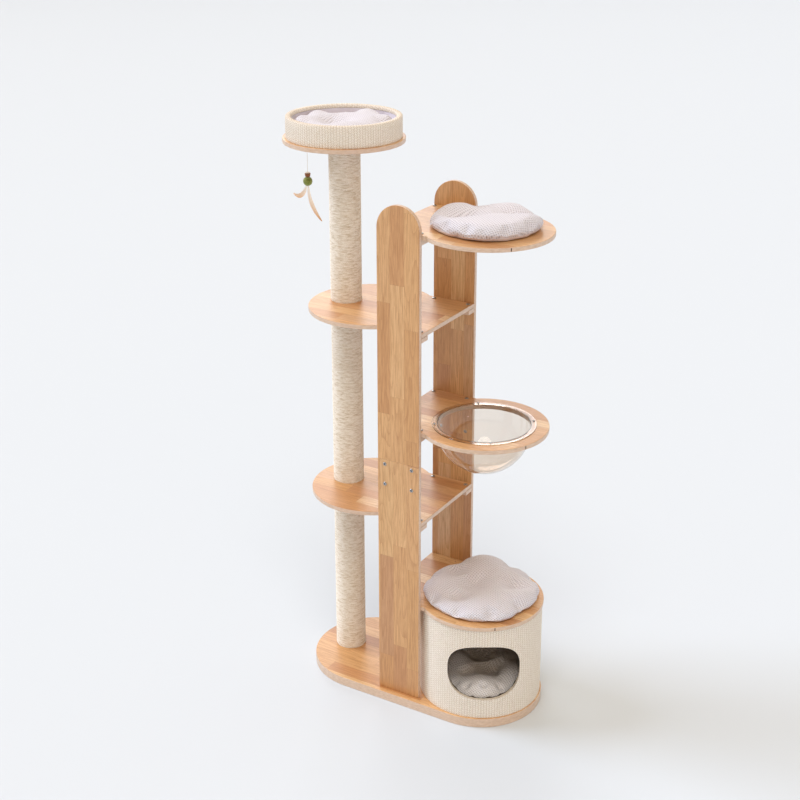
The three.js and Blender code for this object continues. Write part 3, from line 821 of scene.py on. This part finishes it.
def shape_pad(pad, middle, outline, hollows, lumps):
    """Pushes the pad's outline in and out and presses hollows and lumps into its top.

    An outline bump is (turn, spread, growth). A hollow is (radius, turn, share of the thickness,
    reach) and a lump is (radius, turn, height, reach). Turns and spreads are in degrees, and
    lengths in millimetres. Returns the vertices at the stitches of the hollows and under the pad,
    which the cloth keeps.
    """
    floor = middle[2]
    top = max(vertex.co.z for vertex in pad.data.vertices) - floor
    stitch = 7 * MM  # radius of the held spot at the bottom of a hollow
    core = 100 * MM  # the growth fades inside this radius, where the underside is held
    kept = []
    for vertex in pad.data.vertices:
        x, y = vertex.co.x - middle[0], vertex.co.y - middle[1]
        rise = (vertex.co.z - floor) / top
        radius, turn = hypot(x, y), atan2(y, x)
        sink, lift, grow = 0.0, 0.0, 0.0
        for spot_radius, spot_turn, depth, reach in hollows:
            away = distance_to_spot(x, y, spot_radius, spot_turn) / (reach * MM)
            if away < 1:
                sink = max(sink, depth * (1 - away * away) ** 2)
            if away < stitch / (reach * MM) and rise > 0.55:
                kept.append(vertex.index)
        for spot_radius, spot_turn, height, reach in lumps:
            away = distance_to_spot(x, y, spot_radius, spot_turn) / (reach * MM)
            if away < 1:
                lift += height * MM * (1 - away * away) ** 2
        for bump_turn, spread, growth in outline:
            apart = degrees(remainder(turn - radians(bump_turn), 2 * pi))
            grow += growth * exp(-((apart / spread) ** 2))
        grow = 1 + grow * min(1.0, radius / core)
        if rise < 0.05 and radius < core:
            kept.append(vertex.index)
        height = vertex.co.z + lift * min(1.0, rise * 1.5) - sink * top * max(0.0, rise - 0.2)
        vertex.co = (middle[0] + x * grow, middle[1] + y * grow, height)
    return kept


def distance_to_spot(x, y, radius, turn):
    """How far x, y is from a spot at a radius in millimetres and a turn in degrees."""
    angle = radians(turn)
    return hypot(x - radius * MM * cos(angle), y - radius * MM * sin(angle))


def fill_cushion(pad, middle, kept, cap):
    """Fills the pad by cloth simulation, with its stitched spots held, as it rests on a board."""
    start = [vertex.co.copy() for vertex in pad.data.vertices]
    held = pad.vertex_groups.new(name="held")
    held.add(kept, 1.0, "REPLACE")
    cloth = pad.modifiers.new("cloth", "CLOTH")
    settings = cloth.settings
    settings.quality = 5
    settings.mass = 0.15
    settings.tension_stiffness = 12
    settings.compression_stiffness = 8
    settings.shear_stiffness = 5
    settings.bending_stiffness = 0.1
    settings.use_pressure = True
    settings.uniform_pressure_force = 4.0
    settings.vertex_group_mass = "held"
    settings.effector_weights.gravity = 0
    cloth.collision_settings.use_collision = False
    for moment in range(1, 21):
        bpy.context.scene.frame_set(moment)
    activate(pad)
    bpy.ops.object.modifier_apply(modifier="cloth")
    bpy.context.scene.frame_set(1)
    for vertex, before in zip(pad.data.vertices, start):
        move = vertex.co - before
        if move.length > cap:
            vertex.co = before + move * (cap / move.length)
        vertex.co.z = max(vertex.co.z, middle[2] + 0.2 * MM)


def cloth_map(pad, middle, turn):
    """The cloth map of a round cushion: its top panel laid flat, with its edge unrolled outwards."""
    layer = pad.data.uv_layers.new(name="cloth")
    top = max(vertex.co.z for vertex in pad.data.vertices)
    for loop in pad.data.loops:
        co = pad.data.vertices[loop.vertex_index].co
        x, y = co.x - middle[0], co.y - middle[1]
        radius = hypot(x, y)
        unrolled = radius + max(0.0, top - co.z - 10 * MM) * min(1.0, radius / 0.1)
        angle = atan2(y, x) + turn
        layer.data[loop.index].uv = (unrolled * cos(angle), unrolled * sin(angle))


def make_cushion(place, body, materials, size, shape, cap, turn):
    """A stuffed cushion with a waffle top and a plain underside, tufted at its stitched hollows.
    Its size is the start's share of the CAD cushion's width and height, cap is how far the filling
    may move a point, and turn is how far its weave is turned, in radians."""
    node = f"{place}_cushion"
    pad, middle = cushion_start(node, *size, 5 * MM)
    kept = shape_pad(pad, middle, *shape)
    fill_cushion(pad, middle, kept, cap)
    apply_modifier(pad, "SUBSURF", levels=1)
    cloth_map(pad, middle, turn)
    waffle, plain = materials
    set_up(pad, f"{place}_cushion_cover", body, waffle)
    pad.data.materials.append(plain)
    seam_height = middle[2] + 11 * MM
    for polygon in pad.data.polygons:
        polygon.use_smooth = True
        if polygon.center.z < seam_height:
            polygon.material_index = 1
    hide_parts(node)


def gathers(radius, turns, depth, reach):
    """The same hollow again and again round a cushion's rim, where its seam is gathered."""
    return [(radius, turn, depth, reach) for turn in turns]


def make_cushions(waffle, plain, painted_light_waffle):
    """The four cushions, each with its outline's bumps, its hollows and its lumps for shape_pad."""
    cover = (waffle, plain)
    outline = [(172, 32, 0.12), (-148, 25, 0.04), (82, 25, 0.05), (25, 25, 0.04), (-59, 35, 0.04)]
    hollows = [(62, -149, 0.75, 60), (105, 128, 0.45, 42), (85, 42, 0.5, 60)]
    hollows += gathers(150, (-150, -118, -86, -42, -8, 50, 100, 145), 0.7, 26)
    lumps = [(110, 168, 12, 70), (110, 80, 10, 60), (115, 10, 5, 60)]
    shape = outline, hollows, lumps
    make_cushion("shelf", "shelf_cushion", cover, (0.96, 0.95), shape, 12 * MM, 0.6)

    outline = [(115, 26, 0.08), (-149, 26, 0.05), (31, 22, 0.05), (-15, 12, -0.05), (-40, 12, 0.03)]
    hollows = [(25, -149, 0.6, 66), (95, 25, 0.5, 55), (95, -105, 0.5, 45), (105, 165, 0.45, 45)]
    hollows += gathers(160, (-172, -125, -88, -52, -15, 50, 84, 145), 0.8, 32)
    lumps = [(120, 112, 16, 90), (125, -149, 8, 60), (115, -60, 7, 60), (125, 0, 8, 55)]
    shape = outline, hollows, lumps
    make_cushion("roof", "roof_cushion", cover, (0.98, 0.85), shape, 14 * MM, 0.3)

    outline = [(-149, 60, 0.03), (31, 60, 0.03)]
    hollows = [(30, -120, 0.6, 65), (110, 136, 0.45, 30), (112, 110, 0.35, 20)]
    hollows += gathers(146, (-150, -95, -30, 30, 70, 165), 0.5, 18)
    lumps = [(128, 165, 12, 50), (125, 88, 12, 55), (130, 31, 14, 55), (130, -150, 14, 55)]
    lumps += [(100, -60, 5, 60)]
    shape = outline, hollows, lumps
    make_cushion("bed", "bed_cushion", cover, (1.0, 1.05), shape, 8 * MM, 0.1)

    hollows = [(60, -100, 0.35, 35), (35, -10, 0.6, 60), (70, 120, 0.6, 80)]
    hollows += gathers(125, (-98, -80, -58, -35), 0.25, 15)
    lumps = [(118, -62, 14, 70), (120, 8, 20, 70), (95, -165, 14, 80)]
    shape = ([], hollows, lumps)
    # the den's cushion takes a whiter copy of the waffle cotton: painted light for the light through its
    # doorway
    make_cushion("den", "tree", (painted_light_waffle, plain), (1.02, 0.97), shape, 10 * MM, 0.5)


# --- screws and bolts


def make_screw(head_radius, head_height, shank_radius, length, socket_radius, socket_depth=2 * MM):
    """A pan-head screw that points down, its head's underside at the origin, with a hexagon socket."""
    profile = [
        (shank_radius * 0.6, -length), (shank_radius, -length + shank_radius), (shank_radius, 0.0),
        (head_radius * 0.92, 0.0), (head_radius, head_height * 0.15), (head_radius, head_height * 0.45),
        (head_radius * 0.88, head_height * 0.8), (head_radius * 0.6, head_height),
    ]
    screw = lathe(profile, 24, (0, 0, 0))
    top = (0, 0, head_height)
    deselect()
    depth = 2 * socket_depth
    bpy.ops.mesh.primitive_cylinder_add(vertices=6, radius=socket_radius, depth=depth, location=top)
    socket = bpy.context.object
    apply_modifier(screw, "BOOLEAN", operation="DIFFERENCE", object=socket, solver="EXACT")
    bpy.data.objects.remove(socket)
    return screw


def place_copies(master, name, spots, material):
    """Puts a copy of the master at each spot, a (place, rotation) pair, and drops the master."""
    for number, (place, turn) in enumerate(spots, 1):
        twin = master.copy()
        twin.data = master.data.copy()
        bpy.context.collection.objects.link(twin)
        twin.location = place
        twin.rotation_euler = turn
        set_up(twin, f"{name}_{number}", "tree", material, 30)
    bpy.data.objects.remove(master)


def make_fasteners(zinc):
    """The screws, bolts and nuts that hold the boards, the den and the bed."""
    upright = (0, 0, 0)
    shelf_spots = []
    roof_spots = []
    for shelf, (top, batten) in SHELVES.items():
        near = -UPRIGHT_HALF_WIDTH + SCREW_INSET
        far = near + batten - 2 * SCREW_INSET
        for x in (near, far):
            for y in (-SCREW_Y, SCREW_Y):
                if shelf == "condo_roof":
                    roof_spots.append(((x, y, top - 7 * MM), upright))
                else:
                    shelf_spots.append(((x, y, top + 0.1 * MM), upright))

    bolt_spots = []
    nut_spots = []
    for side in (-1, 1):
        outwards = (radians(-90 * side), 0, 0)
        inwards = (radians(90 * side), 0, 0)
        for x in (-LAP_BOLT_X, LAP_BOLT_X):
            for z in LAP_BOLT_HEIGHTS:
                bolt_spots.append(((x, side * (UPRIGHT_OUTER + 0.1 * MM), z), outwards))
                nut_spots.append(((x, side * (UPRIGHT_INNER - 0.1 * MM), z), inwards))

    upside_down = (pi, 0, 0)
    y = (UPRIGHT_INNER + UPRIGHT_OUTER) / 2
    corners = [(-LAP_BOLT_X, -y), (-LAP_BOLT_X, y), (LAP_BOLT_X, -y), (LAP_BOLT_X, y)]
    foot_spots = [((*corner, 3.1 * MM), upside_down) for corner in corners]

    def ring_spots(centre_x, radius, z):
        diagonals = [radians(45 + 90 * quarter) for quarter in range(4)]
        return [((centre_x + radius * cos(a), radius * sin(a), z), upside_down) for a in diagonals]

    den_spots = ring_spots(DEN_X, 172 * MM, 2.5 * MM)
    bed_spots = ring_spots(BED_X, 157 * MM, 1648.5 * MM)
    fasteners = [  # name, spots, and the sizes that make_screw takes, in millimetres
        ("shelf_screw", shelf_spots, (6, 3, 2.1, 22, 2.2)),
        ("roof_screw", roof_spots, (2.3, 1.5, 1.9, 14, 1)),
        ("lap_bolt", bolt_spots, (5.4, 2.6, 3.2, 6, 2.9, 5)),
        ("lap_nut", nut_spots, (5.6, 2, 3.7, 6.5, 2.8, 5)),
        ("foot_screw", foot_spots, (5, 2.6, 2.1, 58, 2)),
        ("den_screw", den_spots, (4, 2.2, 1.7, 24, 1.6)),
        ("bed_screw", bed_spots, (4, 2.2, 1.7, 9.5, 1.6)),
    ]
    for name, spots, sizes in fasteners:
        place_copies(make_screw(*[size * MM for size in sizes]), name, spots, zinc)


def make_edge_slots():
    """The short slots in the edges of the three right-hand shelves: small dark boxes whose colour is
    painted shade.
    """
    material, _, shader = new_material("slot_painted_shade")
    # painted shade: the dark colour stands for the shade inside each slot
    feed(shader, {"Base Color": linear("#3a2212"), "Roughness": 0.9})
    size = (1.2 * MM, 2.6 * MM, 9 * MM)
    for shelf, turn in (("top_right_shelf", -42.9), ("bowl_shelf", -24.1), ("condo_roof", -49.7)):
        top = SHELVES[shelf][0]
        angle = radians(turn)
        place = (DISC_X + DISC_RADIUS * cos(angle), DISC_RADIUS * sin(angle), top - BOARD / 2)
        deselect()
        bpy.ops.mesh.primitive_cube_add(size=1, location=place, rotation=(0, 0, angle), scale=size)
        slot = bpy.context.object
        apply_modifier(slot, "BEVEL", width=0.4 * MM, segments=2)
        set_up(slot, f"{shelf}_edge_slot", "tree", material)


# --- cap, ball and feathers of the toy


def make_cap(leather):
    """The leather cap over the ball, with a cream stopper in its top."""
    low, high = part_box("toy_cap")
    x, y = (low[0] + high[0]) / 2, (low[1] + high[1]) / 2
    bottom, top = low[2], high[2]
    radius = 8.5 * MM
    profile = [
        (radius * 0.8, bottom), (radius * 0.86, bottom + 0.8 * MM), (radius, bottom + 8.5 * MM),
        (radius * 0.96, top - 3.4 * MM), (radius * 0.9, top - 3 * MM),
    ]
    cap = lathe(profile, 32, (x, y, 0))
    set_up(cap, "leather_cap", "toy", leather, 40, "toy_cap")
    knot_profile = [
        (radius * 0.75, top - 3 * MM), (radius * 0.82, top - 2 * MM), (radius * 0.7, top - 0.6 * MM),
        (radius * 0.3, top),
    ]
    wad = lathe(knot_profile, 32, (x, y, 0))
    set_up(wad, "cream_stopper", "toy", plain_cotton("undyed_cotton", "#efe7d8"), 60)


def make_ball(felt):
    """The felt ball, with a tufted surface."""
    low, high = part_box("toy_ball")
    middle = [(a + b) / 2 for a, b in zip(low, high)]
    radius = 13.6 * MM
    deselect()
    bpy.ops.mesh.primitive_ico_sphere_add(subdivisions=5, radius=radius, location=middle)
    ball = bpy.context.object
    for vertex in ball.data.vertices:
        tuft = noise.noise(vertex.co * 900) * 0.35 + noise.noise(vertex.co * 260) * 0.5
        vertex.co *= 1 + tuft * MM / radius
    set_up(ball, "felt_ball", "toy", felt, 180, "toy_ball")


def make_feather(node, name, root, bend, tip, half_width, feather_material):
    """A feather: a narrow cupped row of five points, drawn out step by step along its quill's curve."""
    steps = 14
    quill = []
    widths = []
    for index in range(steps + 1):
        t = index / steps
        quill.append((1 - t) ** 2 * Vector(root) + 2 * t * (1 - t) * Vector(bend) + t * t * Vector(tip))
        fullness = 0.12 + 0.95 * sin(pi * min(1.0, t * 0.93 + 0.05)) ** 0.8
        widths.append(half_width * fullness * (1 + 0.12 * noise.noise(quill[-1] * 400)))
    turns = [atan2(after.x - before.x, before.z - after.z) for before, after in zip(quill, quill[1:])]
    turns.append(turns[-1])
    deselect()
    bpy.ops.mesh.primitive_grid_add(x_subdivisions=4, y_subdivisions=1, size=2, rotation=(pi / 2, 0, 0))
    vane = apply_place()
    cup = 0.25  # how deep the cup of the row is, as a share of its half width
    select_vertices(vane, lambda co: abs(co.x) > 0.9)
    bpy.ops.transform.translate(value=(0, -cup, 0))
    select_vertices(vane, lambda co: 0.4 < abs(co.x) < 0.6)
    bpy.ops.transform.translate(value=(0, -cup * 0.6, 0))
    select_vertices(vane, lambda co: True)
    bpy.ops.transform.resize(value=(widths[0], widths[0], 0.05 * MM), center_override=(0, 0, 0))
    bpy.ops.transform.rotate(value=turns[0], orient_axis="Y", center_override=(0, 0, 0))
    bpy.ops.transform.translate(value=quill[0])
    low_end = Vector((sin(turns[0]), 0, -cos(turns[0])))
    select_vertices(vane, lambda co: (co - quill[0]).dot(low_end) > 0)
    for index in range(steps):
        bpy.ops.mesh.extrude_edges_move()
        grow = widths[index + 1] / widths[index]
        turn = turns[index + 1] - turns[index]
        bpy.ops.transform.resize(value=(grow, grow, grow), center_override=quill[index])
        bpy.ops.transform.rotate(value=turn, orient_axis="Y", center_override=quill[index])
        bpy.ops.transform.translate(value=quill[index + 1] - quill[index])
    face_outwards()
    apply_modifier(vane, "SUBSURF", levels=1)
    apply_modifier(vane, "SOLIDIFY", thickness=0.4 * MM, offset=0)
    set_up(vane, name, "toy", feather_material, 60, node)


def make_toy():
    make_cap(brown_leather())
    make_ball(wool_felt())
    root_z = 1497.7 * MM
    half_width = 6.5 * MM
    feathers = [  # name, where its colour ends, and its root, bend and tip: x and z in mm, and y
        ("long", 99, (3, 1), (4, -55), (48, -99), -1 * MM),
        ("short", 45, (-3, 1), (-22, -48), (-52, -28), 1 * MM),
    ]
    colours = [goose_feather(f"goose_feather_{row[0]}", root_z, root_z - row[1] * MM) for row in feathers]
    for (name, _, *spots, y), colour in zip(feathers, colours):
        root, bend, tip = [(STRING_TOP[0] + x * MM, y, root_z + z * MM) for x, z in spots]
        make_feather(f"toy_{name}_feather", f"{name}_feather", root, bend, tip, half_width, colour)


# --- everything

make_camera()
make_string()
make_studio()
zinc = finish_cad_nodes()
rope = sisal_rope()
for level in ("lower", "middle", "upper"):
    make_post_rope(level, rope)
matting = sisal_matting()
waffle = waffle_cotton("waffle_cotton", "#ececf5", "#c6c4cd")
# a whiter copy of the waffle cotton for the den's cushion: painted light for the light through the doorway
painted_light_waffle = waffle_cotton("painted_light_den_cotton", "#fbfcff", "#d4d2d6")
# a dark copy of the waffle cotton for the den's lining: painted shade for the inside of the den
painted_shade_waffle = waffle_cotton("painted_shade_den_lining", "#6f6356", "#4c4237")  # dark, as the den looks
make_bed(matting, plain_cotton("lilac_cotton", "#f1edf8"))
make_den(matting, painted_shade_waffle)
make_bowl()
make_cushions(waffle, plain_cotton("plain_cotton", "#eee4e6"), painted_light_waffle)
make_fasteners(zinc)
make_edge_slots()
make_toy()
